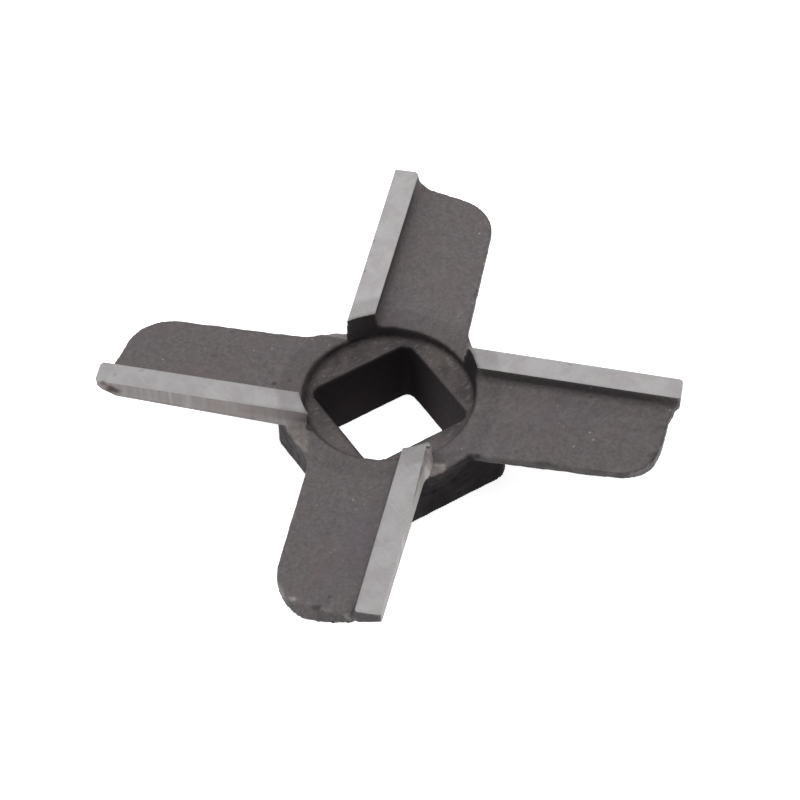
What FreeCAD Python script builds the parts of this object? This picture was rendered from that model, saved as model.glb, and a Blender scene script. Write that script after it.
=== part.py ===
import FreeCAD, Part
import math
import os
from FreeCAD import Vector as V

os.makedirs("parts", exist_ok=True)

# Four-armed cross knife of a meat grinder: one iron casting with ground
# cutting lands. Millimetres. +Z runs along the drive axis, from the back of
# the boss (z = 0) towards the cutting side. The flats of the square drive hole
# lie along X and Y, so the arms point along the diagonals.
#
# Arm coordinates used below: u runs outwards along the arm, v across it
# towards the leading (cutting) side, z up. The leading side is the
# anticlockwise one, seen from the cutting side. Arm 0 points at -45 degrees,
# arm 1 at 45, arm 2 at 135 and arm 3 at 225.

# ---- driving dimensions -------------------------------------------------
HEIGHT = 12.40           # back of the boss to the ground lands

HOLE_AF = 12.70          # square drive hole, across flats
HOLE_R = 1.00            # its corner radius
HOLE_CHAMFER = 0.18      # worn edge at the recess floor

BOSS_AF = 19.52          # square boss, across flats
BOSS_R = (2.1, 2.2, 2.1, 2.2)   # its corner radius under each arm

HUB_R = 11.85            # flared hub between the arms, at its rim
CROWN_R = (12.12, 11.85, 11.85, 12.00)   # its top behind each arm
CROWN_Z = 9.1            # height from which a wider top is upright
HUB_CONE_Z = 3.4         # the hub starts to flare out of the boss here
HUB_RIM_Z = 8.80         # lower edge of the rim
WEB_R = (3.0, 3.2, 4.8, 4.0)    # fillet in plan, rim to trailing edge, each arm

RECESS_Z = 8.60          # floor of the round recess in the cutting side
RECESS_FILLET = 0.80     # its fillet at the wall
RECESS_R_FLOOR = 9.34    # radius of the wall at the top of that fillet
RECESS_R_RING = 9.42     # at the top of the hub
RECESS_RING_Z = 9.95
RECESS_R_TOP = 9.88      # radius at the lands

LAND_LEAD_V = 6.45       # leading (cutting) edge of a land
LAND_TRAIL_V = 3.67      # trailing edge of a land
LAND_OUTER_U = 31.57     # outer end of a land at its cutting edge
LAND_OUTER_TRAIL_U = 31.64

STEP_FOOT_V = 3.52       # foot of the step wall behind a land
STEP_FOOT_Z = 11.35
STEP_FILLET_V = 2.62     # where the fillet at the foot runs out
STEP_FILLET_Z = 10.47

TOP_TRAIL_V = -6.90      # cast top face, extended past the trailing edge
TOP_TRAIL_Z = 9.80

# underside of an arm, (v, z) at the root and, for each arm, at the tip
BELLY_ROOT = ((6.45, 9.72), (4.3, 8.95), (2.2, 8.20), (0.0, 7.80), (-2.5, 7.75), (-4.8, 8.17), (-6.9, 8.97))
BELLY_TIP = (
    ((6.45, 10.60), (4.3, 9.95), (2.2, 9.15), (0.0, 8.50), (-2.5, 8.32), (-4.8, 8.66), (-6.9, 9.34)),
    ((6.45, 10.42), (4.3, 9.75), (2.2, 8.95), (0.0, 8.40), (-2.5, 8.25), (-4.8, 8.65), (-6.9, 9.35)),
    ((6.45, 10.42), (4.3, 9.70), (2.2, 8.90), (0.0, 8.35), (-2.5, 8.25), (-4.8, 8.65), (-6.9, 9.35)),
    ((6.45, 10.85), (4.3, 10.25), (2.2, 9.35), (0.0, 8.48), (-2.5, 8.12), (-4.8, 8.50), (-6.9, 9.27)),
)
ROOT_U = 9.0
TIP_U = 31.5

# plan outline of the cast body behind the land, one entry for each arm:
# trailing edge v at u = 12 and at u = 26, corner radius, u of the end beside
# the land, u of the end at v = -1 and u of the end where it would meet the
# trailing edge, all at the cast top face; then how far the end runs out for
# each mm downwards
ARMS = (
    (-6.47, -5.95, 4.2, 30.75, 30.60, 29.66, -0.05),
    (-6.48, -5.97, 4.8, 31.12, 30.62, 29.85, 0.05),
    (-6.56, -6.14, 5.4, 30.92, 30.42, 30.15, 0.05),
    (-6.42, -6.24, 5.4, 31.00, 30.35, 30.08, 0.19),
)
END_TOP_Z = 10.2         # height at which those ends are measured

# worn corner in plan at the outer end of a land, trailing side
LAND_CORNER = (0.22, 0.42, 0.36, 0.30)
# and its radius at the cutting edge
LEAD_CORNER = (0.55, 0.12, 0.40, 0.25)

# rounded lower corner at the outer end of a land: run and rise at the cutting
# edge, and depth of the upright end that stays; it fades out behind the land
TIP_CUT = ((1.4, 1.6, 0.75), (1.6, 1.7, 0.70), (2.2, 1.95, 0.35), (1.1, 1.65, 1.00))
TIP_CUT_END_V = 2.0

# the fillet behind a land swells towards the outer end: (v, z) of its face there
SWELL = ((3.66, 12.15), (3.36, 11.50), (2.98, 11.02), (2.50, 10.70), (1.95, 10.46), (1.40, 10.30))
SWELL_U = (28.6, 31.7)
# and how far it stands out there beyond the end of the cast body, each arm
END_SWELL = (0.26, 0.15, 0.30, 0.30)

# run-out left by grinding each cutting face, where it meets the hub: its floor,
# as (u, z) from the inner end outwards
RUN_OUT = (
    ((6.95, 9.95), (7.20, 9.35), (7.90, 8.95), (9.20, 8.60)),
    ((7.15, 9.95), (7.60, 9.50), (8.20, 9.20), (9.05, 8.60)),
    ((9.15, 10.10), (9.60, 9.45), (9.95, 9.20), (11.0, 9.15)),
    ((8.30, 9.98), (8.75, 9.55), (9.20, 9.12), (9.90, 8.80)),
)
# fillet between cutting face and hub, arm 2 only, and the pocket at its inner end
FOOT_R = 1.25
FOOT_Z = 9.64             # height of its lower end
FOOT_U = 7.70
POCKET = (6.6, 7.68, 10.10, 12.10)      # u from and to, z from and to
POCKET_V = 5.50
# worn cutting edge of arm 3 near the hub: u where it starts, width there, u where it ends
WORN_EDGE = (8.35, 0.36, 16.5)


# ---- helpers --------------------------------------------------------------
def rounded(points):
    """Closed run of edges through (x, y, radius) corners, at z = 0."""
    n = len(points)
    cut = []
    for i in range(n):
        x, y, r = points[i]
        p = V(x, y, 0)
        if r <= 0:
            cut.append((p, p, None))
            continue
        da = (V(points[i - 1][0], points[i - 1][1], 0) - p).normalize()
        db = (V(points[(i + 1) % n][0], points[(i + 1) % n][1], 0) - p).normalize()
        half = da.getAngle(db) / 2.0
        bis = (da + db).normalize()
        c = p + bis * (r / math.sin(half))
        t = r / math.tan(half)
        cut.append((p + da * t, p + db * t, c - bis * r))
    edges = []
    for i in range(n):
        s, e, mid = cut[i]
        if mid is not None:
            edges.append(Part.Arc(s, mid, e).toShape())
        nxt = cut[(i + 1) % n][0]
        if e.distanceToPoint(nxt) > 1e-6:
            edges.append(Part.LineSegment(e, nxt).toShape())
    return edges


def flat_wire(points, z):
    w = Part.Wire(rounded(points))
    w.translate(V(0, 0, z))
    return w


def prism(points, z0, z1):
    return Part.Face(flat_wire(points, z0)).extrude(V(0, 0, z1 - z0))


def turn(shape, k):
    s = shape.copy()
    s.rotate(V(0, 0, 0), V(0, 0, 1), -45 + 90 * k)
    return s


# ---- an arm ----------------------------------------------------------------
def belly(k, u):
    t = (u - ROOT_U) / (TIP_U - ROOT_U)
    return [(v, a + (b - a) * t) for (v, a), (_, b) in zip(BELLY_ROOT, BELLY_TIP[k])]


def top_edges(u, v_far, z_far):
    """Land, step wall, fillet and cast top face, from the cutting edge back."""
    a = V(u, LAND_LEAD_V, HEIGHT)
    b = V(u, LAND_TRAIL_V, HEIGHT)
    foot = V(u, STEP_FOOT_V, STEP_FOOT_Z)
    mid = V(u, STEP_FOOT_V - 0.30, STEP_FILLET_Z + 0.26)
    run = V(u, STEP_FILLET_V, STEP_FILLET_Z)
    far = V(u, v_far, z_far)
    return a, far, [
        Part.LineSegment(a, b).toShape(),
        Part.LineSegment(b, foot).toShape(),
        Part.Arc(foot, mid, run).toShape(),
        Part.LineSegment(run, far).toShape(),
    ]


def section(k, u):
    a, far, edges = top_edges(u, TOP_TRAIL_V, TOP_TRAIL_Z)
    low = [V(u, v, z) for v, z in belly(k, u)]
    spline = Part.BSplineCurve()
    spline.interpolate(list(reversed(low)))
    return Part.Wire(edges + [
        Part.LineSegment(far, low[-1]).toShape(),
        spline.toShape(),
        Part.LineSegment(low[0], a).toShape(),
    ])


def outline(k, z):
    """Plan outline of arm k at height z; the land's own end is upright."""
    v12, v26, r_tip, u_notch, u_end, u_corner, draft = ARMS[k]
    slope = (v26 - v12) / 14.0
    d = (END_TOP_Z - z) * draft
    u_c = u_corner + d
    return flat_wire([
        (0.0, LAND_LEAD_V, 0),
        (LAND_OUTER_U, LAND_LEAD_V, LEAD_CORNER[k]),
        (LAND_OUTER_TRAIL_U, LAND_TRAIL_V + LAND_CORNER[k], 0),
        (LAND_OUTER_TRAIL_U - LAND_CORNER[k], LAND_TRAIL_V - 0.12, 0),
        (u_notch + END_SWELL[k], LAND_TRAIL_V - 0.62, 0),
        (u_notch + d, LAND_TRAIL_V - 1.40, 0.5),
        (u_end + d, -1.0, 0),
        (u_c, v12 + slope * (u_c - 12.0), r_tip),
        (0.0, v12 - slope * 12.0, 0),
    ], z)


def tip_tool(k):
    """Removes the lower outer corner under the end of a land."""
    run, rise, end = TIP_CUT[k]

    def face_wire(v, f):
        z_r = HEIGHT - (1.0 + (rise - 1.0) * f) - (1.0 - f) * 1.3
        z_e = HEIGHT - end - (1.0 - f) * 0.8
        u_r = LAND_OUTER_U - run * f
        p = [
            (LAND_OUTER_U + 0.1, z_e),
            (LAND_OUTER_U + 3.0, z_e),
            (LAND_OUTER_U + 3.0, z_r - 4.0),
            (u_r - 0.9, z_r - 4.0),
            (u_r, z_r),
            (u_r + run * 0.65, z_e - (z_e - z_r) * 0.55),
        ]
        return Part.makePolygon([V(a, v, b) for a, b in p + p[:1]])

    return Part.makeLoft([face_wire(LAND_LEAD_V + 0.3, 1.0), face_wire(TIP_CUT_END_V, 0.0)], True, True)


def swell():
    """Extra fillet behind a land, growing from nothing to the outer end."""
    def wire(u, drop):
        p = [(v, z - drop) for v, z in SWELL] + [(1.40, 9.45), (4.20, 10.75), (4.20, 12.15 - drop)]
        return Part.makePolygon([V(u, v, z) for v, z in p + p[:1]])

    return Part.makeLoft([wire(SWELL_U[0], 0.55), wire(SWELL_U[1], 0.0)], True, True)


def arm(k):
    body = Part.makeLoft([section(k, 0.0), section(k, 34.0)], True, True).fuse(swell())
    body = body.common(Part.makeLoft([outline(k, 6.0), outline(k, 13.5)], True, True))
    return body.cut(tip_tool(k))


# ---- the hub ----------------------------------------------------------------
h = BOSS_AF / 2.0
boss_points = [(h, -h, BOSS_R[0]), (h, h, BOSS_R[1]), (-h, h, BOSS_R[2]), (-h, -h, BOSS_R[3])]
boss = prism(boss_points, 0.0, HUB_RIM_Z)
flare = Part.makeCone(h, HUB_R, HUB_RIM_Z - HUB_CONE_Z, V(0, 0, HUB_CONE_Z), V(0, 0, 1))


def web(k):
    """Fillet in plan between the hub's rim and the trailing edge of arm k."""
    r, rim = WEB_R[k], CROWN_R[k]
    z0 = CROWN_Z if rim > HUB_R else HUB_RIM_Z
    v12, v26 = ARMS[k][0], ARMS[k][1]
    v_t = v12 - (v26 - v12) / 14.0 * 0.5
    v_c = v_t - r
    u_c = math.sqrt((rim + r) ** 2 - v_c ** 2)
    on_rim = V(u_c * rim / (rim + r), v_c * rim / (rim + r), 0)
    on_edge = V(u_c, v_t, 0)
    d = ((on_rim + on_edge) * 0.5 - V(u_c, v_c, 0)).normalize()
    mid = V(u_c, v_c, 0) + d * r
    w = Part.Wire([
        Part.LineSegment(V(0, 0, 0), on_rim).toShape(),
        Part.Arc(on_rim, mid, on_edge).toShape(),
        Part.LineSegment(on_edge, V(u_c, 0, 0)).toShape(),
        Part.LineSegment(V(u_c, 0, 0), V(0, 0, 0)).toShape(),
    ])
    w.translate(V(0, 0, z0))
    return Part.Face(w).extrude(V(0, 0, 14.0 - z0))


def crown(k):
    """Top of the hub behind arm k, with its rim."""
    s = (TOP_TRAIL_Z - STEP_FILLET_Z) / (TOP_TRAIL_V - STEP_FILLET_V)
    v_far = -12.5
    a, far, edges = top_edges(0.0, v_far, STEP_FILLET_Z + s * (v_far - STEP_FILLET_V))
    base_far = V(0, v_far, 8.2)
    base_a = V(0, LAND_LEAD_V, 8.2)
    w = Part.Wire(edges + [
        Part.LineSegment(far, base_far).toShape(),
        Part.LineSegment(base_far, base_a).toShape(),
        Part.LineSegment(base_a, a).toShape(),
    ])
    wedge = Part.Face(w).extrude(V(16.0, 0, 0))
    if CROWN_R[k] > HUB_R:
        disc = Part.makeCylinder(CROWN_R[k], 14.0 - CROWN_Z, V(0, 0, CROWN_Z), V(0, 0, 1))
        r_low = h + (HUB_R - h) * (8.2 - HUB_CONE_Z) / (HUB_RIM_Z - HUB_CONE_Z)
        disc = disc.fuse(Part.makeCone(r_low, CROWN_R[k], CROWN_Z - 8.2, V(0, 0, 8.2), V(0, 0, 1)))
    else:
        disc = Part.makeCylinder(HUB_R, 14.0 - HUB_RIM_Z, V(0, 0, HUB_RIM_Z), V(0, 0, 1))
    return turn(wedge.common(disc.fuse(web(k))), k)


def run_out(k):
    """Room swept by the grinding wheel in front of arm k, at the hub."""
    floor = RUN_OUT[k]
    p = [(floor[0][0], 14.0)] + list(floor) + [(14.0, floor[-1][1]), (14.0, 14.0)]
    w = Part.makePolygon([V(u, LAND_LEAD_V, z) for u, z in p + p[:1]])
    return turn(Part.Face(w).extrude(V(0, 10.0, 0)), k)


def foot():
    """Fillet between the cutting face of arm 2 and the top of the hub."""
    r = FOOT_R
    v0, z0 = LAND_LEAD_V, FOOT_Z
    mid = V(FOOT_U, v0 + r - r * math.cos(math.pi / 4), z0 + r - r * math.sin(math.pi / 4))
    w = Part.Wire([
        Part.LineSegment(V(FOOT_U, v0 - 0.5, z0 + r), V(FOOT_U, v0, z0 + r)).toShape(),
        Part.Arc(V(FOOT_U, v0, z0 + r), mid, V(FOOT_U, v0 + r, z0)).toShape(),
        Part.LineSegment(V(FOOT_U, v0 + r, z0), V(FOOT_U, v0 + r, z0 - 0.6)).toShape(),
        Part.LineSegment(V(FOOT_U, v0 + r, z0 - 0.6), V(FOOT_U, v0 - 0.5, z0 - 0.6)).toShape(),
        Part.LineSegment(V(FOOT_U, v0 - 0.5, z0 - 0.6), V(FOOT_U, v0 - 0.5, z0 + r)).toShape(),
    ])
    bar = turn(Part.Face(w).extrude(V(3.0, 0, 0)), 2)
    return bar.common(Part.makeCylinder(CROWN_R[3], 14.0, V(0, 0, 0), V(0, 0, 1)))


def worn_edge():
    """Sliver worn off the cutting edge of arm 3."""
    u0, width, u1 = WORN_EDGE

    def corner(u, w):
        return Part.makePolygon([
            V(u, LAND_LEAD_V - w, HEIGHT + 0.01),
            V(u, LAND_LEAD_V + 0.2, HEIGHT + 0.01),
            V(u, LAND_LEAD_V + 0.2, HEIGHT - 1.9 * w),
            V(u, LAND_LEAD_V - 0.1 * w, HEIGHT - 1.5 * w),
            V(u, LAND_LEAD_V - w, HEIGHT + 0.01),
        ])

    return turn(Part.makeLoft([corner(u0, width), corner(u1, 0.06)], True, True), 3)


# ---- the casting -------------------------------------------------------------
knife = boss.multiFuse([flare] + [turn(arm(k), k) for k in range(4)] + [crown(k) for k in range(4)])
knife = knife.removeSplitter()
for k in range(4):
    knife = knife.cut(run_out(k))
knife = knife.fuse(foot())
knife = knife.cut(worn_edge())

# round recess, its wall leaning outwards
rr, zf = RECESS_FILLET, RECESS_Z + RECESS_FILLET
c = RECESS_R_FLOOR - rr
profile = Part.Wire([
    Part.LineSegment(V(0, 0, RECESS_Z), V(c, 0, RECESS_Z)).toShape(),
    Part.Arc(V(c, 0, RECESS_Z), V(c + rr * math.sin(math.pi / 4), 0, zf - rr * math.cos(math.pi / 4)),
             V(RECESS_R_FLOOR, 0, zf)).toShape(),
    Part.LineSegment(V(RECESS_R_FLOOR, 0, zf), V(RECESS_R_RING, 0, RECESS_RING_Z)).toShape(),
    Part.LineSegment(V(RECESS_R_RING, 0, RECESS_RING_Z), V(RECESS_R_TOP, 0, HEIGHT)).toShape(),
    Part.LineSegment(V(RECESS_R_TOP, 0, HEIGHT), V(RECESS_R_TOP, 0, 14.0)).toShape(),
    Part.LineSegment(V(RECESS_R_TOP, 0, 14.0), V(0, 0, 14.0)).toShape(),
    Part.LineSegment(V(0, 0, 14.0), V(0, 0, RECESS_Z)).toShape(),
])
knife = knife.cut(Part.Face(profile).revolve(V(0, 0, 0), V(0, 0, 1), 360))
pocket = Part.makeBox(
    POCKET[1] - POCKET[0], LAND_LEAD_V + 1.0 - POCKET_V, POCKET[3] - POCKET[2], V(POCKET[0], POCKET_V, POCKET[2])
)
knife = knife.cut(turn(pocket, 2))

# square drive hole, right through, with a worn upper edge
q = HOLE_AF / 2.0
signs = ((1, -1), (1, 1), (-1, 1), (-1, -1))
knife = knife.cut(prism([(q * a, q * b, HOLE_R) for a, b in signs], -1.0, 15.0))
q2 = q + HOLE_CHAMFER
knife = knife.cut(Part.makeLoft([
    flat_wire([(q * a, q * b, HOLE_R) for a, b in signs], RECESS_Z - HOLE_CHAMFER),
    flat_wire([(q2 * a, q2 * b, HOLE_R + HOLE_CHAMFER) for a, b in signs], RECESS_Z),
], True, True))

knife = knife.removeSplitter()
if len(knife.Solids) == 1:
    knife = knife.Solids[0]

print("valid", knife.isValid(), "type", knife.ShapeType, "solids", len(knife.Solids), "faces", len(knife.Faces))
print("volume mm3", round(knife.Volume, 1), "area mm2", round(knife.Area, 1))
knife.exportStep("parts/grinder_knife.step")
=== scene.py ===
import math

import bpy
import numpy as np
from mathutils import Matrix, Vector
from mathutils.bvhtree import BVHTree


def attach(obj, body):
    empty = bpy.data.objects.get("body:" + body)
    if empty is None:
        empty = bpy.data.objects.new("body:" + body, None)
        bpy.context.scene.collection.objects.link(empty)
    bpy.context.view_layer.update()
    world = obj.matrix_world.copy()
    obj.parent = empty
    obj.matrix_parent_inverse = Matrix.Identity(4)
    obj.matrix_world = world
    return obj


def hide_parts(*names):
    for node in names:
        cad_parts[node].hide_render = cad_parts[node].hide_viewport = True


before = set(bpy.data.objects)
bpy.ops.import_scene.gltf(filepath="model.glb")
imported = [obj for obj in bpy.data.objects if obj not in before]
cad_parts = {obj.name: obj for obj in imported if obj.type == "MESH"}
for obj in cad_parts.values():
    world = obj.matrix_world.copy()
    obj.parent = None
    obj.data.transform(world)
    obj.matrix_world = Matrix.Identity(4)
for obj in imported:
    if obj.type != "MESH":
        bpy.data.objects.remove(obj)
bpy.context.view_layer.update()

# Four-armed cross knife: one casting with ground lands. The mesh is worked out
# in millimetres in axes turned 45 degrees about Z, where the arms lie along the
# axes, and is turned back to the row frame at the end.
# Arm k's own coordinates: u outwards, v towards its cutting edge.
C45 = math.sqrt(0.5)
TO_ARMS = np.array([[C45, -C45, 0.0], [C45, C45, 0.0], [0.0, 0.0, 1.0]])
ARM_DIR = ((1, 0), (0, 1), (-1, 0), (0, -1))

TOP_Z = 12.40
LEAD_V = 6.45
PITCH = 0.25
RUN_OUT_U = (7.0, 7.2, 9.2, 8.35)


# ---- noise on points ---------------------------------------------------------
def lattice(ix, iy, iz, seed):
    n = (ix.astype(np.int64) * 374761393 + iy.astype(np.int64) * 668265263 + iz.astype(np.int64) * 2147483647 + seed * 1274126177)
    n = n & 0xFFFFFFFF
    n = ((n ^ (n >> 13)) * 1274126177) & 0xFFFFFFFF
    n = ((n ^ (n >> 16)) * 2246822519) & 0xFFFFFFFF
    n = n ^ (n >> 15)
    return (n & 0xFFFFFF) / float(0xFFFFFF)


def smooth_noise(p, scale, seed):
    """Value noise between -1 and 1, with features about scale mm apart."""
    q = p / scale
    i = np.floor(q).astype(np.int64)
    f = q - i
    f = f * f * f * (f * (f * 6 - 15) + 10)
    out = np.zeros(len(p))
    for dx in (0, 1):
        wx = f[:, 0] if dx else 1 - f[:, 0]
        for dy in (0, 1):
            wy = f[:, 1] if dy else 1 - f[:, 1]
            for dz in (0, 1):
                wz = f[:, 2] if dz else 1 - f[:, 2]
                out += wx * wy * wz * lattice(i[:, 0] + dx, i[:, 1] + dy, i[:, 2] + dz, seed)
    return out * 2 - 1


def spots(p, cell, share, r_lo, r_hi, seed):
    """Round dimples: 1 in the middle of one, 0 outside."""
    q = p / cell
    i = np.floor(q).astype(np.int64)
    out = np.zeros(len(p))
    for dx in (-1, 0, 1):
        for dy in (-1, 0, 1):
            for dz in (-1, 0, 1):
                a, b, c = i[:, 0] + dx, i[:, 1] + dy, i[:, 2] + dz
                x = (a + lattice(a, b, c, seed)) * cell
                y = (b + lattice(a, b, c, seed + 1)) * cell
                z = (c + lattice(a, b, c, seed + 2)) * cell
                r = r_lo + (r_hi - r_lo) * lattice(a, b, c, seed + 3) ** 2
                on = lattice(a, b, c, seed + 4) < share
                d = np.sqrt((p[:, 0] - x) ** 2 + (p[:, 1] - y) ** 2 + (p[:, 2] - z) ** 2) / r
                out = np.maximum(out, np.where(on & (d < 1), (1 - d * d) ** 2, 0.0))
    return out


def ramp(x, a, b):
    t = np.clip((x - a) / (b - a), 0, 1)
    return t * t * (3 - 2 * t)


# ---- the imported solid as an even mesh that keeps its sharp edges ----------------
def crossings(bvh, axis, start, pa, pb):
    """Where grid lines along an axis cross the surface: line indices, place, normal."""
    a, b = [k for k in range(3) if k != axis]
    d = [0.0, 0.0, 0.0]
    d[axis] = 1.0
    d = Vector(d)
    out = []
    o = Vector((0.0, 0.0, 0.0))
    for ia, va in enumerate(pa):
        for ib, vb in enumerate(pb):
            if axis == 2 and min(abs(va), abs(vb)) > 7.4 and math.hypot(va, vb) > 12.8:
                continue
            o[axis], o[a], o[b] = start, va, vb
            while True:
                hit, nor, _, _ = bvh.ray_cast(o, d)
                if hit is None:
                    break
                out.append((ia, ib, hit[axis], nor[0], nor[1], nor[2]))
                o[axis] = hit[axis] + 1e-4
    return np.array(out)


def remade(cad):
    me = cad.data
    co = np.empty(len(me.vertices) * 3, np.float64)
    me.vertices.foreach_get("co", co)
    co = (co.reshape(-1, 3) * 1000.0) @ TO_ARMS.T
    me.calc_loop_triangles()
    tri = np.empty(len(me.loop_triangles) * 3, np.int32)
    me.loop_triangles.foreach_get("vertices", tri)
    bvh = BVHTree.FromPolygons(co.tolist(), tri.reshape(-1, 3).tolist(), all_triangles=True)
    h = PITCH
    g = [
        np.arange(-32.2137, 32.4, h),
        np.arange(-32.2253, 32.4, h),
        np.arange(-0.6179, 13.2, h),
    ]
    n = [len(x) for x in g]
    hits = [
        crossings(bvh, 0, g[0][0] - 1, g[1], g[2]),
        crossings(bvh, 1, g[1][0] - 1, g[0], g[2]),
        crossings(bvh, 2, g[2][0] - 1, g[0], g[1]),
    ]
    # inside or outside, from the lines along Z
    inside = np.zeros(n, bool)
    last, z_in = None, None
    for ia, ib, z, _, _, nz in hits[2]:
        if (ia, ib) != last:
            last, z_in = (ia, ib), None
        if nz < 0 and z_in is None:
            z_in = z
        elif nz > 0 and z_in is not None:
            k0 = math.ceil((z_in - g[2][0]) / h)
            k1 = math.floor((z - g[2][0]) / h)
            inside[int(ia), int(ib), k0:k1 + 1] = True
            z_in = None
    m = [x - 1 for x in n]
    total = m[0] * m[1] * m[2]
    edges, quads, sides = [], [], []
    for axis in range(3):
        lo = [slice(None)] * 3
        hi = [slice(None)] * 3
        lo[axis], hi[axis] = slice(0, -1), slice(1, None)
        a, b = inside[tuple(lo)], inside[tuple(hi)]
        idx = np.array(np.nonzero(a ^ b)).T
        outward = a[tuple(idx.T)]                       # True: the normal points along +axis
        key = (idx[:, 0] * n[1] + idx[:, 1]) * n[2] + idx[:, 2]
        hit = hits[axis]
        o1, o2 = [k for k in range(3) if k != axis]
        hi_idx = np.empty((len(hit), 3), np.int64)
        hi_idx[:, axis] = np.floor((hit[:, 2] - g[axis][0]) / h)
        hi_idx[:, o1], hi_idx[:, o2] = hit[:, 0], hit[:, 1]
        hkey = (hi_idx[:, 0] * n[1] + hi_idx[:, 1]) * n[2] + hi_idx[:, 2]
        hkey = hkey * 2 + (hit[:, 3 + axis] > 0)
        order = np.argsort(hkey, kind="stable")
        hkey, hit = hkey[order], hit[order]
        want = key * 2 + outward
        at = np.clip(np.searchsorted(hkey, want), 0, len(hkey) - 1)
        found = hkey[at] == want
        pos = np.stack([g[k][idx[:, k]] for k in range(3)], 1)
        nor = np.zeros((len(idx), 3))
        pos[:, axis] = np.where(found, hit[at, 2], pos[:, axis] + h / 2)
        nor[found] = hit[at[found], 3:6]
        nor[~found, axis] = np.where(outward[~found], 1.0, -1.0)
        c, r = {0: (1, 2), 1: (2, 0), 2: (0, 1)}[axis]
        ring = []
        for dc, dr in ((-1, -1), (0, -1), (0, 0), (-1, 0)):
            q = idx.copy()
            q[:, c] += dc
            q[:, r] += dr
            ring.append((q[:, 0] * m[1] + q[:, 1]) * m[2] + q[:, 2])
        ring = np.stack(ring, 1)
        ring[~outward] = ring[~outward][:, ::-1]
        edges.append((ring, pos, nor))
        quads.append(ring)
    quads = np.concatenate(quads)
    cells, flat = np.unique(quads, return_inverse=True)
    quads = flat.reshape(quads.shape)
    k = len(cells)
    ata, atb, mass, cnt = np.zeros((k, 3, 3)), np.zeros((k, 3)), np.zeros((k, 3)), np.zeros(k)
    start = 0
    for ring, pos, nor in edges:
        local = quads[start:start + len(ring)]
        start += len(ring)
        outer = nor[:, :, None] * nor[:, None, :]
        d = (nor * pos).sum(1)
        for s in range(4):
            np.add.at(ata, local[:, s], outer)
            np.add.at(atb, local[:, s], nor * d[:, None])
            np.add.at(mass, local[:, s], pos)
            np.add.at(cnt, local[:, s], 1)
    mass /= cnt[:, None]
    rhs = atb - np.einsum("kij,kj->ki", ata, mass)
    w, e = np.linalg.eigh(ata)
    keep = w > 0.09 * w[:, 2:3]
    inv = np.where(keep, 1 / np.maximum(w, 1e-9), 0)
    step = np.einsum("kij,kj->ki", e, inv * np.einsum("kji,kj->ki", e, rhs))
    corner = np.stack([
        g[0][cells // (m[1] * m[2])],
        g[1][(cells // m[2]) % m[1]],
        g[2][cells % m[2]],
    ], 1)
    p = mass + step
    p = np.clip(p, corner - 0.02 * h, corner + 1.02 * h)
    return p, quads, keep.sum(1)


def arm_coords(p):
    """Each point's nearest arm, and its u and v there."""
    uv = []
    for dx, dy in ARM_DIR:
        uv.append((p[:, 0] * dx + p[:, 1] * dy, -p[:, 0] * dy + p[:, 1] * dx))
    best = np.argmax(np.stack([u for u, v in uv]), 0)
    u = np.choose(best, [a for a, _ in uv])
    v = np.choose(best, [b for _, b in uv])
    return best, u, v


def face_normals(p, q):
    a = p[q[:, 2]] - p[q[:, 0]]
    b = p[q[:, 3]] - p[q[:, 1]]
    n = np.cross(a, b)
    return n / np.maximum(np.linalg.norm(n, axis=1), 1e-12)[:, None]


def vertex_normals(p, q):
    fn = face_normals(p, q)
    out = np.zeros_like(p)
    for s in range(4):
        np.add.at(out, q[:, s], fn)
    return out / np.maximum(np.linalg.norm(out, axis=1), 1e-12)[:, None]


def averaged(x, pairs, cnt):
    out = np.zeros_like(x)
    np.add.at(out, pairs[:, 0], x[pairs[:, 1]])
    np.add.at(out, pairs[:, 1], x[pairs[:, 0]])
    return out / cnt[:, None]


CAST, LAND, FRONT = 0, 1, 2

pts, quads, rank = remade(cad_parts["grinder_knife"])

# which faces are ground
fn = face_normals(pts, quads)
mid = pts[quads].mean(1)
arm, fu, fv = arm_coords(mid)
vdir = np.array([(-dy, dx, 0) for dx, dy in ARM_DIR], float)[arm]
kind = np.full(len(quads), CAST)
kind[(mid[:, 2] > TOP_Z - 0.03) & (fn[:, 2] > 0.9)] = LAND
front = np.zeros(len(quads), bool)
run_out = np.zeros(len(quads), bool)
for k, (dx, dy) in enumerate(ARM_DIR):
    u = mid[:, 0] * dx + mid[:, 1] * dy
    v = -mid[:, 0] * dy + mid[:, 1] * dx
    nv = -fn[:, 0] * dy + fn[:, 1] * dx
    front |= (np.abs(v - LEAD_V) < 0.05) & (nv > 0.9) & (u > 6.9) & (mid[:, 2] > 9.2)
    # where the grinding wheel ran out over the hub
    nu = fn[:, 0] * dx + fn[:, 1] * dy
    start = RUN_OUT_U[k]
    reach = 8.1 if k == 3 else 9.6
    run_out |= (u > start) & (u < 10.6) & (v > LEAD_V - 0.02) & (v < reach) & (mid[:, 2] > 8.55) & (nu > 0.35) & (fn[:, 2] > 0.35) & (nv < 0.3)
    if k == 2:
        run_out |= (u > 7.72) & (u < 10.2) & (v > LEAD_V + 0.02) & (v < 9.7) & (mid[:, 2] > 9.1) & (fn[:, 2] > 0.3) & (np.hypot(u, v) < 11.9)
        run_out |= (u > 7.72) & (u < 10.2) & (v > LEAD_V + 0.02) & (v < LEAD_V + 0.8) & (mid[:, 2] > 9.6) & (nv > 0.3)
    if k == 3:
        # the edge worn off near the hub is bare metal too
        front |= (u > 8.2) & (u < 17.0) & (v > 5.9) & (v < LEAD_V + 0.02) & (mid[:, 2] > 11.5) & (nv > 0.3)
run_out &= ~front & (kind == CAST)
kind[front & (kind == CAST)] = FRONT

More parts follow.
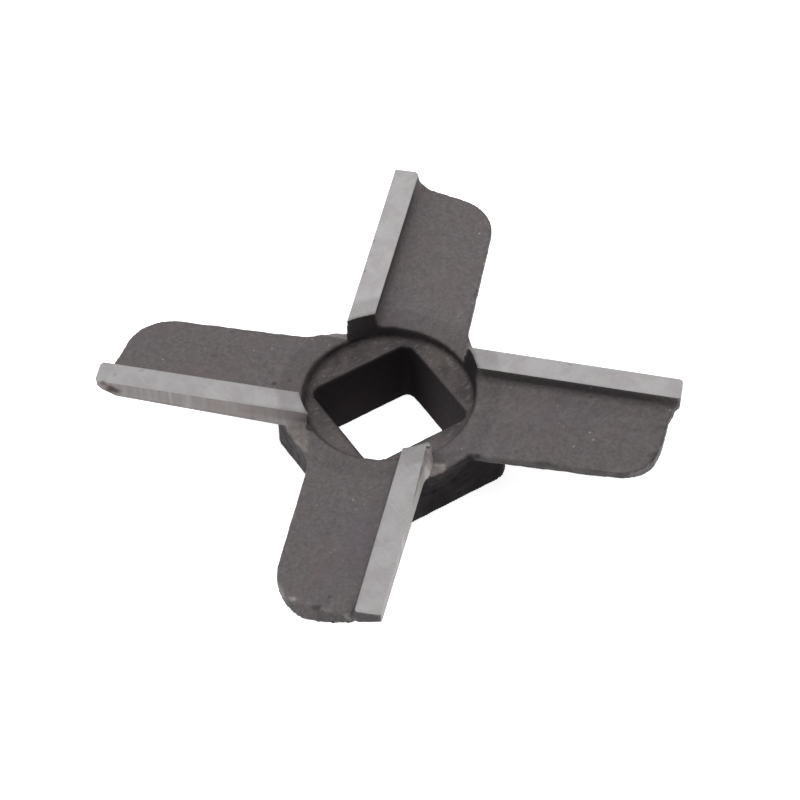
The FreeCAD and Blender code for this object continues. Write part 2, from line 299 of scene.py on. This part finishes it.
pairs = np.concatenate([quads[:, [0, 1]], quads[:, [1, 2]], quads[:, [2, 3]], quads[:, [3, 0]]])
pairs = np.unique(np.sort(pairs, 1), axis=0)
cnt = np.zeros(len(pts))
np.add.at(cnt, pairs[:, 0], 1)
np.add.at(cnt, pairs[:, 1], 1)


def touches(faces):
    out = np.zeros(len(pts), bool)
    out[quads[faces].ravel()] = True
    return out


on_land, on_flat = touches(kind == LAND), touches(kind == FRONT)
on_front = touches((kind == FRONT) | run_out)
ground = on_land | on_flat

# the cast skin's edges are rounded; the ground faces stay flat, their edges crisp
p = pts.copy()
free = ~ground
deep_floor = (pts[:, 2] < 0.02)
for turn in range(5):
    avg = averaged(p, pairs, cnt)
    p[free] = p[free] * 0.45 + avg[free] * 0.55
# the rounding takes a little off the outline, which is put back
swell = vertex_normals(p, quads)
loss = ((pts - p) * swell).sum(1)
loss = averaged(loss[:, None], pairs, cnt)[:, 0]
dish = (np.hypot(p[:, 0], p[:, 1]) < 9.6) | (np.maximum(np.abs((p @ TO_ARMS)[:, 0]), np.abs((p @ TO_ARMS)[:, 1])) < 7.2)
p += swell * np.where(ground | dish, 0.0, 0.75 * np.maximum(loss, 0.0))[:, None]
# the flare under the hub's rim is a fair curve
wide = np.maximum(np.abs((p @ TO_ARMS)[:, 0]), np.abs((p @ TO_ARMS)[:, 1])) > 9.0
fair = free & wide & (p[:, 2] > 3.3) & (p[:, 2] < 8.9) & (np.hypot(p[:, 0], p[:, 1]) < 13.6)
for turn in range(8):
    avg = averaged(p, pairs, cnt)
    p[fair] = p[fair] * 0.4 + avg[fair] * 0.6
# arm 3's cutting face stands out at its foot beside the hub
au, av, az3 = -p[:, 1], p[:, 0], p[:, 2]
stand = (0.18 + 0.20 * ramp(az3, 11.4, 10.2)) * ramp(au, 11.5, 10.0) * ramp(au, 7.6, 8.3) * ramp(az3, 12.3, 11.7) * ramp(az3, 8.7, 9.5)
beside = (av > LEAD_V - 0.02) & (av < LEAD_V + 2.0)
p[:, 0] += np.where(beside, stand * np.clip(1 - (av - LEAD_V) / 2.0, 0, 1), 0.0)
convex = np.where(ground, 0.0, loss)
p[:, 2] = np.maximum(p[:, 2], 0.0)

nor = vertex_normals(p, quads)
arm, u, v = arm_coords(p)
z = p[:, 2]

# uneven sand-cast skin
rough = (
    0.045 * smooth_noise(p, 5.5, 11)
    + 0.030 * smooth_noise(p, 2.1, 12)
    + 0.022 * smooth_noise(p, 0.95, 13)
    + 0.014 * smooth_noise(p, 0.5, 14)
)
rough -= 0.10 * spots(p, 3.1, 0.35, 0.30, 0.75, 21)
rough += 0.05 * spots(p, 2.3, 0.30, 0.25, 0.50, 31)
edge = ramp(convex, 0.02, 0.10)
row = p @ TO_ARMS
flat = np.maximum(np.abs(row[:, 0]), np.abs(row[:, 1]))
in_bore = (flat < 6.75) & (z < 8.4)
rough *= np.where(in_bore, 0.08, 1.0)
on_boss = (np.hypot(p[:, 0], p[:, 1]) < 12.6) & (z < 8.6) & ~in_bore
rough *= np.where(on_boss, 0.25, 1.0)
rough *= 1 - 0.45 * ramp(1 - np.abs(nor[:, 2]), 0.2, 0.6)
rough += edge * (0.03 * smooth_noise(p, 0.8, 15))
rough *= np.where(on_front, 0.35, 1.0)
rough *= np.where((arm == 3) & (u > 29.0) & (nor[:, 2] < 0.6), 0.4, 1.0)
hold = np.where(ground, 0.0, 1.0)
soft = averaged(hold[:, None], pairs, cnt)[:, 0]
hold = np.where(ground, 0.0, np.minimum(hold, soft))
p += nor * (rough * hold)[:, None]

# single pits and nicks: place, radius, depth, darkness
DENTS = (
    (-30.64, -6.45, 12.15, 0.42, 0.08, 0.62), (-30.25, -6.45, 11.80, 0.32, 0.04, 0.40),
    (-29.75, -6.45, 11.45, 0.72, 0.12, 1.00), (-29.25, -6.45, 11.20, 0.56, 0.09, 0.90),
    (-30.10, -6.45, 11.15, 0.48, 0.07, 0.80), (-28.65, -6.45, 11.45, 0.30, 0.00, 0.22),
    (-13.89, -6.45, 10.19, 0.40, 0.05, 0.35), (-29.64, -5.16, 12.40, 0.24, 0.00, 0.28),
    (-26.95, -4.02, 12.40, 0.28, 0.00, 0.22),
    (-6.45, 19.96, 12.30, 0.36, 0.06, 0.50), (-6.45, 15.34, 12.30, 0.36, 0.06, 0.50),
    (19.06, 6.45, 12.40, 0.34, 0.05, 0.30),
    (-0.62, -30.25, 10.12, 0.44, 0.10, 0.62), (-1.02, -30.32, 10.02, 0.44, 0.10, 0.58),
    (0.28, -28.70, 10.31, 0.27, 0.04, 0.48),
    (6.51, -7.42, 3.73, 0.60, 0.16, 0.5), (8.36, -5.57, 3.88, 0.70, 0.18, 0.5),
    (9.52, -4.41, 2.60, 0.55, 0.15, 0.5), (8.82, -5.11, 1.08, 0.60, 0.16, 0.5),
    (10.60, -3.20, 5.10, 0.55, 0.14, 0.4), (5.20, -8.60, 5.60, 0.50, 0.14, 0.4),
    (-18.81, -2.36, 10.45, 0.34, 0.06, 0.35), (-12.73, -1.20, 10.37, 0.36, 0.07, 0.50),
    (-11.08, -0.53, 10.32, 0.34, 0.06, 0.45), (-20.30, 1.49, 10.18, 0.32, 0.05, 0.35),
    (-16.77, -2.71, 10.48, 0.32, 0.05, 0.35),
    (22.50, 1.80, 10.45, 0.70, 0.04, 0.14), (18.60, 2.50, 10.50, 0.60, 0.04, 0.14),
    (12.90, 4.10, 10.60, 0.60, 0.04, 0.12),
    (4.18, 15.36, 10.28, 0.26, 0.03, 0.40), (3.68, 15.56, 10.28, 0.26, 0.03, 0.35),
    (10.55, -6.85, 9.75, 0.70, 0.26, 0.80), (11.25, -6.80, 9.70, 0.75, 0.24, 0.80),
    (11.95, -6.90, 9.65, 0.60, 0.18, 0.65), (12.60, -6.95, 9.60, 0.50, 0.10, 0.50),
    (6.45, -7.45, 12.40, 0.55, 0.28, 0.0),
    (-5.50, 7.10, 9.00, 0.34, 0.05, 0.70), (-5.85, 6.80, 9.00, 0.30, 0.05, 0.60),
)
dark_spot = np.zeros(len(p))
for x, y, h, rad, deep, dark in DENTS:
    c = np.array([x, y, h])
    d = np.linalg.norm((p - c) * (1 + 0.25 * smooth_noise(p, 0.6, 51)[:, None]), axis=1) / rad
    fall = np.where(d < 1, (1 - d * d) ** 2, 0.0)
    p -= nor * (deep * fall)[:, None]
    dark_spot = np.maximum(dark_spot, dark * np.clip(1.2 * (1 - (d / 1.1) ** 2), 0, 1))
p[:, 2] = np.maximum(p[:, 2], 0.0)

# row frame, metres
out = (p @ TO_ARMS) / 1000.0

me = bpy.data.meshes.new("grinder_knife_cast")
me.vertices.add(len(out))
me.vertices.foreach_set("co", out.astype(np.float32).ravel())
me.loops.add(len(quads) * 4)
me.loops.foreach_set("vertex_index", quads.astype(np.int32).ravel())
me.polygons.add(len(quads))
me.polygons.foreach_set("loop_start", (np.arange(len(quads)) * 4).astype(np.int32))
me.polygons.foreach_set("use_smooth", np.ones(len(quads), bool))
me.update(calc_edges=True)
print("verts", len(out), "quads", len(quads), "bad", me.validate(verbose=False))
me.polygons.foreach_set("material_index", kind.astype(np.int32))

# crisp edges where a ground face ends
fn = face_normals(p, quads)
ea = np.empty(len(me.edges) * 2, np.int32)
me.edges.foreach_get("vertices", ea)
ea = np.sort(ea.reshape(-1, 2), 1).astype(np.int64)
ekey = ea[:, 0] * len(out) + ea[:, 1]
order = np.argsort(ekey)
first = np.full(len(ekey), -1)
second = np.full(len(ekey), -1)
for s in range(4):
    a = np.sort(quads[:, [s, (s + 1) % 4]], 1)
    at = order[np.searchsorted(ekey[order], a[:, 0] * len(out) + a[:, 1])]
    fresh = first[at] < 0
    # a face's own four edges are all different, but two faces can meet an edge in one pass
    uniq, idx0 = np.unique(at[fresh], return_index=True)
    rows = np.nonzero(fresh)[0]
    first[uniq] = rows[idx0]
    left = np.ones(len(at), bool)
    left[rows[idx0]] = False
    second[at[left]] = np.nonzero(left)[0]
ok = (first >= 0) & (second >= 0)
bend = np.ones(len(ekey))
bend[ok] = (fn[first[ok]] * fn[second[ok]]).sum(1)
crisp = kind
differ = np.zeros(len(ekey), bool)
differ[ok] = crisp[first[ok]] != crisp[second[ok]]
sharp = differ & (bend < math.cos(math.radians(32)))
att = me.attributes.new("sharp_edge", "BOOLEAN", "EDGE")
att.data.foreach_set("value", sharp)


def mask(name, values):
    a = me.attributes.new(name, "FLOAT", "POINT")
    a.data.foreach_set("value", np.clip(values, 0, 1).astype(np.float32))


r = np.hypot(p[:, 0], p[:, 1])
row = p @ TO_ARMS
flat = np.maximum(np.abs(row[:, 0]), np.abs(row[:, 1]))
bore = (flat < 6.62) & (z < 8.45)
side = (flat > 8.9) & (nor[:, 2] > -0.8) & (((z < 8.0) & (r < 14.2)) | ((z < 9.55) & (r < 12.8) & (nor[:, 2] < 0.35)))
side &= ~ground
facing_left = ramp(-nor[:, 0] * 0.97 - nor[:, 1] * 0.26, 0.1, 0.7)
eased = facing_left
for _ in range(8):
    eased = averaged(eased[:, None], pairs, cnt)[:, 0]
facing_left = np.where(z > 3.5, eased, facing_left)
ring = (r > 9.0) & (r < 10.3) & (z > 9.1) & (nor[:, 0] * p[:, 0] + nor[:, 1] * p[:, 1] < -0.5 * r)
under = nor[:, 2] < -0.2
basin = (r < 9.3) & (z > 8.45) & (z < 9.3) & (nor[:, 2] > 0.3)
hub = (r < 12.3) & (r > 9.35) & (z > 9.0) & (nor[:, 2] > 0.5)
blotch = smooth_noise(p, 1.6, 61)
fine_blotch = smooth_noise(p, 0.7, 62)
# painted shade: the bore, boss sides, recess wall, flare under the rim, undersides, step walls and the arms' end and
# trailing sides are darkened where shade falls; the hub top is darker too; pits and marks add real darkening
painted_shade_and_pits = np.zeros(len(p))
painted_shade_and_pits = np.maximum(painted_shade_and_pits, np.where(hub, 0.18 + 0.05 * blotch, 0))
# painted shade in the bore, lighter on the wall facing left and away from the back corner
painted_shade_and_pits = np.maximum(painted_shade_and_pits, np.where(bore, 0.95 - ramp(p[:, 1], 8.5, 1.5) * (0.08 + 0.19 * facing_left), 0))
# painted shade on the boss sides, darker on the side facing right, lighter towards arm 3
towards_c = ramp(-(p[:, 0] + p[:, 1]), -1.0, 7.0) * ((p[:, 0] - p[:, 1]) > 11.0)
painted_shade_and_pits = np.maximum(painted_shade_and_pits, np.where(side, 0.93 - 0.20 * facing_left + 0.05 * blotch - 0.09 * towards_c, 0))
# painted shade on the recess wall, less on the left and on the side facing the camera
near = ramp((0.256 * p[:, 0] - 0.967 * p[:, 1]) / r, 0.0, 0.45)
painted_shade_and_pits = np.maximum(painted_shade_and_pits, np.where(ring, 0.86 - 0.26 * ramp(-p[:, 0] / r, 0.2, 0.8) - near * (0.42 - 0.20 * ramp(-p[:, 0], 1.0, 5.0) + 0.30 * blotch), 0))
# painted shade on the flare under the rim, lighter on the side facing left, and on all undersides
flare = (z > 3.2) & (z < 8.9) & (r < 12.3) & (nor[:, 2] < -0.12) & (nor[:, 2] > -0.8)
painted_shade_and_pits = np.maximum(painted_shade_and_pits, np.where(flare, 1.0 - 0.26 * facing_left, 0))
painted_shade_and_pits = np.maximum(painted_shade_and_pits, np.where(under, 0.50, 0))
# painted shade on the walls of the steps
wall_foot = np.where(arm == 1, 11.55, np.where(arm == 0, 11.25, 11.0))
step_wall = (v > 3.0) & (v < 3.75) & (u > 9.5) & (z > wall_foot) & ~ground
painted_shade_and_pits = np.maximum(painted_shade_and_pits, np.where(step_wall, np.where(arm == 1, 0.5, 0.57), 0))
# painted shade on the arms' outer ends and trailing sides
tip_side = (u > 29.0) & (z < 10.4) & (nor[:, 2] < 0.5) & ~ground
trail_side = (v < -5.6) & (z < 10.2) & (nor[:, 2] < 0.5) & ~ground & (u > 8)
painted_shade_and_pits = np.maximum(painted_shade_and_pits, np.where(tip_side, 0.42 + 0.12 * blotch + np.where(arm == 3, 0.16 * ramp(p[:, 0], -2.5, 0.0), 0), 0))
painted_shade_and_pits = np.maximum(painted_shade_and_pits, np.where(trail_side, 0.54 + 0.10 * blotch, 0))
# painted shade: the end of arm 3's land is darkened like the cast skin below it
land_end = (arm == 3) & (u > 29.4) & (z > 10.2) & (nor[:, 2] < 0.5) & ~ground & (v > 3.0)
painted_shade_and_pits = np.maximum(painted_shade_and_pits, np.where(land_end, 0.60, 0))
# pits and scale along the outer end and trailing edge of arm 0
scaly = (arm == 0) & ~ground & (((u > 29.6) & (v < 3.0)) | (v < -5.9)) & (z < 10.35) & (u > 12)
painted_shade_and_pits = np.maximum(painted_shade_and_pits, np.where(scaly, 0.50 * ramp(fine_blotch, 0.15, 0.50), 0))
# short dark marks at the foot of the step of arm 2
foot_marks = (arm == 2) & (v > 2.3) & (v < 3.5) & (z < 11.2) & (u > 13) & ~ground
dash = smooth_noise(p * np.array([0.35, 1.0, 1.0]), 0.45, 63)
painted_shade_and_pits = np.maximum(painted_shade_and_pits, np.where(foot_marks, 0.55 * ramp(dash, 0.25, 0.60), 0))
# arm 2's cutting face, darker towards the hub, and its foot
arm2_root = on_front & (p[:, 0] < -6.5) & (p[:, 1] < -6.3)
painted_shade_and_pits = np.maximum(painted_shade_and_pits, np.where(arm2_root, (0.22 * ramp(p[:, 0], -17.0, -13.5) + 0.24 * ramp(p[:, 0], -13.0, -9.5)) * ramp(z, 10.3, 11.0), 0))
for _ in range(2):
    painted_shade_and_pits = averaged(painted_shade_and_pits[:, None], pairs, cnt)[:, 0] * 0.5 + painted_shade_and_pits * 0.5
painted_shade_and_pits = np.maximum(painted_shade_and_pits, dark_spot)
mask("painted_shade_and_pits", painted_shade_and_pits)
mask("dull", bore.astype(float))
basin = averaged(basin.astype(float)[:, None], pairs, cnt)[:, 0]
# painted shade on the recess floor, with its brown tint, weaker towards the near side
mask("basin", basin * (1 - 0.55 * ramp(-p[:, 1], 2.0, 6.5)))
chipped = ((arm == 3) & (u > 29.3) & (v < 3.4)) | ((arm == 1) & (v < -5.0) & (u > 14))
rubbed = np.where(arm == 3, ramp(convex, 0.010, 0.06), edge)
mask("worn", rubbed * np.where(chipped, 1.0 - 0.6 * (arm == 3) * ramp(v, -2.5, -0.5), 0.18 * ramp(r, 12.6, 14.0)))
foot_zone = arm2_root & (p[:, 1] < -6.4)
matt = np.where(foot_zone, ramp(11.3 - z, 0.0, 0.6), 0.0)
matt = np.maximum(matt, np.where(touches(run_out), 1.0, 0.0))
# bare metal on the cast skin, where the grinding wheel ran out
bare = np.zeros(len(p))
waver = 0.12 * smooth_noise(p, 0.9, 71)
for k, (dx, dy) in enumerate(ARM_DIR):
    au = p[:, 0] * dx + p[:, 1] * dy + waver
    av = -p[:, 0] * dy + p[:, 1] * dx
    inner = (7.72 - 0.29 * (av - LEAD_V)) if k == 2 else RUN_OUT_U[k]
    reach = (9.5, 9.5, 9.7, 8.2)[k]
    rim = ramp(np.hypot(au, av), 12.45, 12.2) * ramp(nor[:, 2], 0.10, 0.40)
    here = ramp(au - inner, -0.14, 0.14) * ramp(reach - av - waver, -0.14, 0.14) * ramp(10.8 - au, -0.2, 0.2)
    bare = np.maximum(bare, np.where((av > LEAD_V - 0.03) & (z > 8.5), here * rim, 0.0))
bare = np.where(touches(run_out) & on_flat, 1.0, bare) * np.where(on_land, 0.0, 1.0)
mask("bare", bare)
mask("matt", averaged(matt[:, None], pairs, cnt)[:, 0] * 0.5 + matt * 0.5)
owner = np.where((arm == 3) & (p[:, 0] < 0), 2, arm)
# painted light: each arm's faces lighter or darker by how the light falls on them; 0 is 0.4 times, 1 is 2 times as
# bright
mask("painted_light_land", (np.array([1.07, 1.20, 1.02, 0.95])[arm] - 0.4) / 1.6)
mask("painted_light_front", (np.array([1.0, 1.0, 0.88, 1.25])[owner] + np.where(owner == 3, 0.60 * ramp(-u, -12.0, -10.0) * (1 - matt), 0) - 0.4) / 1.6)
mask("painted_light_cast", (1.0 + (np.array([0.88, 1.05, 1.0, 0.93])[arm] - 1.0) * ramp(u, 9.0, 13.0) - 0.4) / 1.6)

knife = bpy.data.objects.new("grinder_knife_skin", me)
bpy.context.scene.collection.objects.link(knife)


# ---- materials ----------------------------------------------------------------
class Nodes:
    """Small helper to write a node tree in order."""

    def __init__(self, name):
        self.mat = bpy.data.materials.new(name)
        self.mat.use_nodes = True
        self.t = self.mat.node_tree
        self.t.nodes.clear()
        self.out = self.t.nodes.new("ShaderNodeOutputMaterial")
        self.bsdf = self.t.nodes.new("ShaderNodeBsdfPrincipled")
        self.t.links.new(self.bsdf.outputs[0], self.out.inputs[0])
        self.place = self.t.nodes.new("ShaderNodeTexCoord").outputs["Object"]

    def put(self, socket, value):
        if isinstance(value, bpy.types.NodeSocket):
            self.t.links.new(value, socket)
        else:
            socket.default_value = value

    def noise(self, scale, detail=3.0, rough=0.55, warp=0.0, place=None, colour=False):
        n = self.t.nodes.new("ShaderNodeTexNoise")
        self.put(n.inputs["Vector"], place or self.place)
        n.inputs["Scale"].default_value = scale
        n.inputs["Detail"].default_value = detail
        n.inputs["Roughness"].default_value = rough
        n.inputs["Distortion"].default_value = warp
        return n.outputs["Color" if colour else "Fac"]

    def cells(self, scale, feature="F1", place=None, random=1.0):
        n = self.t.nodes.new("ShaderNodeTexVoronoi")
        n.feature = feature
        self.put(n.inputs["Vector"], place or self.place)
        n.inputs["Scale"].default_value = scale
        n.inputs["Randomness"].default_value = random
        return n.outputs["Distance"]

    def ramp(self, value, a, b, lo=0.0, hi=1.0):
        n = self.t.nodes.new("ShaderNodeMapRange")
        n.interpolation_type = "SMOOTHSTEP"
        self.put(n.inputs["Value"], value)
        n.inputs["From Min"].default_value = a
        n.inputs["From Max"].default_value = b
        n.inputs["To Min"].default_value = lo
        n.inputs["To Max"].default_value = hi
        return n.outputs["Result"]

    def maths(self, op, a, b=0.0, c=0.0):
        n = self.t.nodes.new("ShaderNodeMath")
        n.operation = op
        self.put(n.inputs[0], a)
        self.put(n.inputs[1], b)
        self.put(n.inputs[2], c)
        return n.outputs[0]

    def mix(self, fac, a, b, mode="MIX"):
        n = self.t.nodes.new("ShaderNodeMix")
        n.data_type = "RGBA"
        n.blend_type = mode
        self.put(n.inputs[0], fac)
        for socket, value in ((n.inputs[6], a), (n.inputs[7], b)):
            self.put(socket, value if isinstance(value, bpy.types.NodeSocket) else (*value, 1.0))
        return n.outputs[2]

    def painted_lit(self, base, name):
        """The colour, 0.4 to 2 times as bright by a mask on the mesh: painted light."""
        dim = self.mix(1.0, base, (0.4, 0.4, 0.4), "MULTIPLY")
        bright = self.mix(1.0, base, (2.0, 2.0, 2.0), "MULTIPLY")
        return self.mix(self.attr(name), dim, bright)

    def attr(self, name):
        n = self.t.nodes.new("ShaderNodeAttribute")
        n.attribute_type = "GEOMETRY"
        n.attribute_name = name
        return n.outputs["Fac"]

    def stretched(self, rotate, scale):
        n = self.t.nodes.new("ShaderNodeMapping")
        n.vector_type = "POINT"
        self.put(n.inputs["Vector"], self.place)
        n.inputs["Rotation"].default_value = rotate
        n.inputs["Scale"].default_value = scale
        return n.outputs[0]

    def bump(self, height, distance, strength=1.0, normal=None):
        n = self.t.nodes.new("ShaderNodeBump")
        self.put(n.inputs["Strength"], strength)
        n.inputs["Distance"].default_value = distance
        self.put(n.inputs["Height"], height)
        if normal is not None:
            self.put(n.inputs["Normal"], normal)
        return n.outputs[0]


def srgb(*v):
    return tuple((x / 255 / 12.92) if x / 255 <= 0.04045 else ((x / 255 + 0.055) / 1.055) ** 2.4 for x in v)


def cast_skin():
    m = Nodes("cast_skin")
    painted_shade_and_pits, worn, basin = m.attr("painted_shade_and_pits"), m.attr("worn"), m.attr("basin")
    grain = m.noise(5200, 3, 0.6)
    sand = m.noise(2300, 3, 0.6)
    cloud = m.noise(260, 4, 0.6, 0.4)
    patch = m.noise(110, 3, 0.55, 0.6)
    base = m.mix(m.ramp(sand, 0.28, 0.74), srgb(86, 81, 81), srgb(102, 96, 97))
    base = m.mix(m.ramp(grain, 0.62, 0.80, 0, 0.42), base, srgb(146, 142, 141))
    base = m.mix(m.ramp(grain, 0.38, 0.22, 0, 0.45), base, srgb(62, 57, 58))
    base = m.mix(m.ramp(cloud, 0.48, 0.70, 0, 0.40), base, srgb(103, 89, 87))
    base = m.mix(m.ramp(patch, 0.52, 0.74, 0, 0.35), base, srgb(90, 82, 94))
    # a few bright grains
    grit = m.maths("MULTIPLY", m.ramp(m.cells(900), 0.16, 0.07), m.ramp(m.noise(420, 2, 0.5), 0.56, 0.66))
    base = m.mix(m.maths("MULTIPLY", grit, 0.6), base, srgb(160, 157, 156))
    # the recess floor is browner and darker, the darkness painted shade in the recess, with lighter ridges
    ridge = m.noise(1.0, 3, 0.6, 0, m.stretched((0, 0, math.radians(-12)), (950, 1900, 1400)))
    floor_shade_and_tint = m.mix(m.ramp(cloud, 0.38, 0.62), srgb(54, 47, 49), srgb(74, 66, 64))
    floor_shade_and_tint = m.mix(m.ramp(ridge, 0.52, 0.72, 0, 0.7), floor_shade_and_tint, srgb(100, 95, 94))
    floor_shade_and_tint = m.mix(m.ramp(grain, 0.56, 0.76, 0, 0.5), floor_shade_and_tint, srgb(124, 118, 116))
    base = m.mix(m.maths("MULTIPLY", basin, 0.88), base, floor_shade_and_tint)
    chips = m.maths("MULTIPLY", m.ramp(m.noise(750, 3, 0.65), 0.48, 0.66, 0.0, 0.80), m.ramp(m.noise(190, 2, 0.5), 0.42, 0.58, 0.25, 1.0))
    worn = m.maths("MINIMUM", m.maths("MULTIPLY", m.maths("MULTIPLY", worn, chips), 1.6), 1.0)
    base = m.mix(worn, base, srgb(146, 141, 138))
    base = m.painted_lit(base, "painted_light_cast")
    # bare metal where the grinding wheel ran out
    bare = m.attr("bare")
    lines = m.noise(1.0, 3, 0.6, 0, m.stretched((0, 0, math.radians(45)), (2000, 2000, 90)))
    broad = m.noise(1.0, 2, 0.5, 0, m.stretched((0, 0, math.radians(45)), (620, 620, 50)))
    metal = m.mix(m.ramp(lines, 0.30, 0.70), srgb(114, 105, 103), srgb(134, 127, 125))
    metal = m.mix(m.ramp(broad, 0.54, 0.70, 0, 0.45), metal, srgb(152, 147, 145))
    metal = m.painted_lit(metal, "painted_light_front")
    base = m.mix(bare, base, metal)
    # painted shade and pits: darkened towards near black by the mask
    base = m.mix(painted_shade_and_pits, base, srgb(24, 20, 22))
    m.put(m.bsdf.inputs["Base Color"], base)
    m.put(m.bsdf.inputs["Metallic"], m.maths("MULTIPLY", m.ramp(painted_shade_and_pits, 0.3, 0.9, 0.25, 0.0), m.ramp(bare, 0.0, 1.0, 1.0, 0.2)))
    dull = m.attr("dull")
    m.put(m.bsdf.inputs["Roughness"], m.maths("MAXIMUM", m.maths("MULTIPLY", dull, 0.92), m.ramp(m.noise(900, 3, 0.6), 0.3, 0.7, 0.50, 0.72)))
    m.put(m.bsdf.inputs["Specular IOR Level"], m.maths("MULTIPLY", m.ramp(painted_shade_and_pits, 0.2, 0.98, 0.45, 0.03), m.ramp(dull, 0.0, 1.0, 1.0, 0.2)))
    h = m.maths("ADD", m.maths("MULTIPLY", sand, 1.0), m.maths("MULTIPLY", grain, 0.6))
    strength = m.maths("MULTIPLY", m.ramp(painted_shade_and_pits, 0.45, 0.98, 0.80, 0.08), m.ramp(m.maths("MAXIMUM", bare, dull), 0.0, 1.0, 1.0, 0.35))
    m.put(m.bsdf.inputs["Normal"], m.bump(h, 0.00010, strength))
    return m.mat


def ground_land():
    m = Nodes("ground_land")
    painted_shade_and_pits = m.attr("painted_shade_and_pits")
    cloud = m.noise(330, 4, 0.6, 0.2)
    fine = m.noise(3200, 4, 0.65)
    marks = m.noise(1.0, 3, 0.6, 0, m.stretched((0, 0, math.radians(20)), (2600, 260, 260)))
    speck = m.cells(1000)
    base = m.mix(m.ramp(cloud, 0.35, 0.65), srgb(151, 147, 148), srgb(159, 157, 157))
    base = m.mix(m.ramp(marks, 0.52, 0.72, 0, 0.25), base, srgb(170, 168, 168))
    base = m.mix(m.ramp(fine, 0.62, 0.80, 0, 0.35), base, srgb(128, 122, 120))
    base = m.mix(m.ramp(speck, 0.09, 0.04, 0, 0.3), base, srgb(105, 95, 91))
    base = m.painted_lit(base, "painted_light_land")
    # painted shade and pits: darkened by the mask
    base = m.mix(painted_shade_and_pits, base, srgb(40, 34, 32))
    m.put(m.bsdf.inputs["Base Color"], base)
    m.bsdf.inputs["Metallic"].default_value = 0.85
    m.put(m.bsdf.inputs["Roughness"], m.ramp(fine, 0.3, 0.7, 0.38, 0.50))
    m.put(m.bsdf.inputs["Normal"], m.bump(fine, 0.00001, 0.6))
    return m.mat


def ground_front():
    m = Nodes("ground_front")
    painted_shade_and_pits = m.attr("painted_shade_and_pits")
    cloud = m.noise(330, 4, 0.55, 0.3)
    # grinding marks run up and down the face
    lines = m.noise(1.0, 3, 0.6, 0, m.stretched((0, 0, math.radians(45)), (2000, 2000, 90)))
    wide = m.noise(1.0, 2, 0.5, 0, m.stretched((0, 0, math.radians(45)), (620, 620, 50)))
    base = m.mix(m.ramp(lines, 0.30, 0.70), srgb(112, 107, 106), srgb(132, 128, 126))
    base = m.mix(m.ramp(wide, 0.54, 0.70, 0, 0.55), base, srgb(158, 154, 152))
    brown = m.maths("MULTIPLY", m.ramp(cloud, 0.50, 0.68, 0, 0.4), m.ramp(m.attr("painted_light_front"), 0.45, 0.60, 1.0, 0.15))
    base = m.mix(brown, base, srgb(120, 104, 101))
    base = m.painted_lit(base, "painted_light_front")
    # painted shade and pits: darkened by the mask
    base = m.mix(painted_shade_and_pits, base, srgb(52, 38, 37))
    m.put(m.bsdf.inputs["Base Color"], base)
    m.put(m.bsdf.inputs["Metallic"], m.ramp(m.attr("matt"), 0.0, 1.0, 0.55, 0.05))
    m.put(m.bsdf.inputs["Roughness"], m.ramp(lines, 0.3, 0.7, 0.42, 0.56))
    m.put(m.bsdf.inputs["Normal"], m.bump(lines, 0.00002, 0.8))
    return m.mat


for mat in (cast_skin(), ground_land(), ground_front()):
    me.materials.append(mat)

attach(knife, "root")
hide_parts("grinder_knife")


# ---- floor, light, camera -------------------------------------------------------
def floor():
    n, half = 2, 1.5
    mesh = bpy.data.meshes.new("floor")
    mesh.from_pydata([(-half, -half, 0), (half, -half, 0), (half, half, 0), (-half, half, 0)], [], [(0, 1, 2, 3)])
    o = bpy.data.objects.new("floor", mesh)
    bpy.context.scene.collection.objects.link(o)
    o.location.z = -0.00002
    mat = bpy.data.materials.new("floor")
    mat.use_nodes = True
    b = mat.node_tree.nodes["Principled BSDF"]
    b.inputs["Base Color"].default_value = (0.86, 0.86, 0.86, 1)
    b.inputs["Roughness"].default_value = 0.9
    b.inputs["Specular IOR Level"].default_value = 0.1
    b.inputs["Emission Color"].default_value = (1, 1, 1, 1)
    b.inputs["Emission Strength"].default_value = 0.78
    mesh.materials.append(mat)


floor()

scene = bpy.context.scene
world = bpy.data.worlds.new("studio")
scene.world = world
world.use_nodes = True
world.node_tree.nodes["Background"].inputs[0].default_value = (1, 1, 1, 1)
world.node_tree.nodes["Background"].inputs[1].default_value = 0.28


def lamp(name, azimuth, elevation, distance, size, power):
    data = bpy.data.lights.new(name, "AREA")
    data.shape = "DISK"
    data.size = size
    data.energy = power
    o = bpy.data.objects.new(name, data)
    scene.collection.objects.link(o)
    a, e = math.radians(azimuth), math.radians(elevation)
    d = Vector((math.sin(a) * math.cos(e), -math.cos(a) * math.cos(e), math.sin(e)))
    o.location = d * distance
    o.rotation_mode = "QUATERNION"
    o.rotation_quaternion = (-d).to_track_quat("-Z", "Y")


# azimuths as for the camera: 0 looks along +Y
AZ = 14.81 - 45.0
lamp("ceiling", AZ + 150, 86, 0.60, 1.30, 5.4)
lamp("left", -118, 34, 0.70, 0.35, 1.5)

az, el, roll = math.radians(AZ), math.radians(49.227), math.radians(-2.55)
back = Vector((math.sin(az) * math.cos(el), -math.cos(az) * math.cos(el), math.sin(el)))
right = Vector((math.cos(az), math.sin(az), 0))
up = back.cross(right)
r2 = right * math.cos(roll) + up * math.sin(roll)
u2 = up * math.cos(roll) - right * math.sin(roll)
cam_data = bpy.data.cameras.new("camera")
cam = bpy.data.objects.new("camera", cam_data)
scene.collection.objects.link(cam)
scene.camera = cam
cam_data.sensor_width = 36.0
cam_data.lens = 3494.4578 * 36.0 / 800.0
cam_data.clip_start, cam_data.clip_end = 0.01, 10.0
place = (back * 391.394 + r2 * 0.9051 + u2 * 5.9131) / 1000.0
rot = Matrix((r2, u2, back)).transposed().to_4x4()
cam.matrix_world = Matrix.Translation(place) @ rot

scene.view_settings.view_transform = "Standard"
scene.view_settings.look = "None"
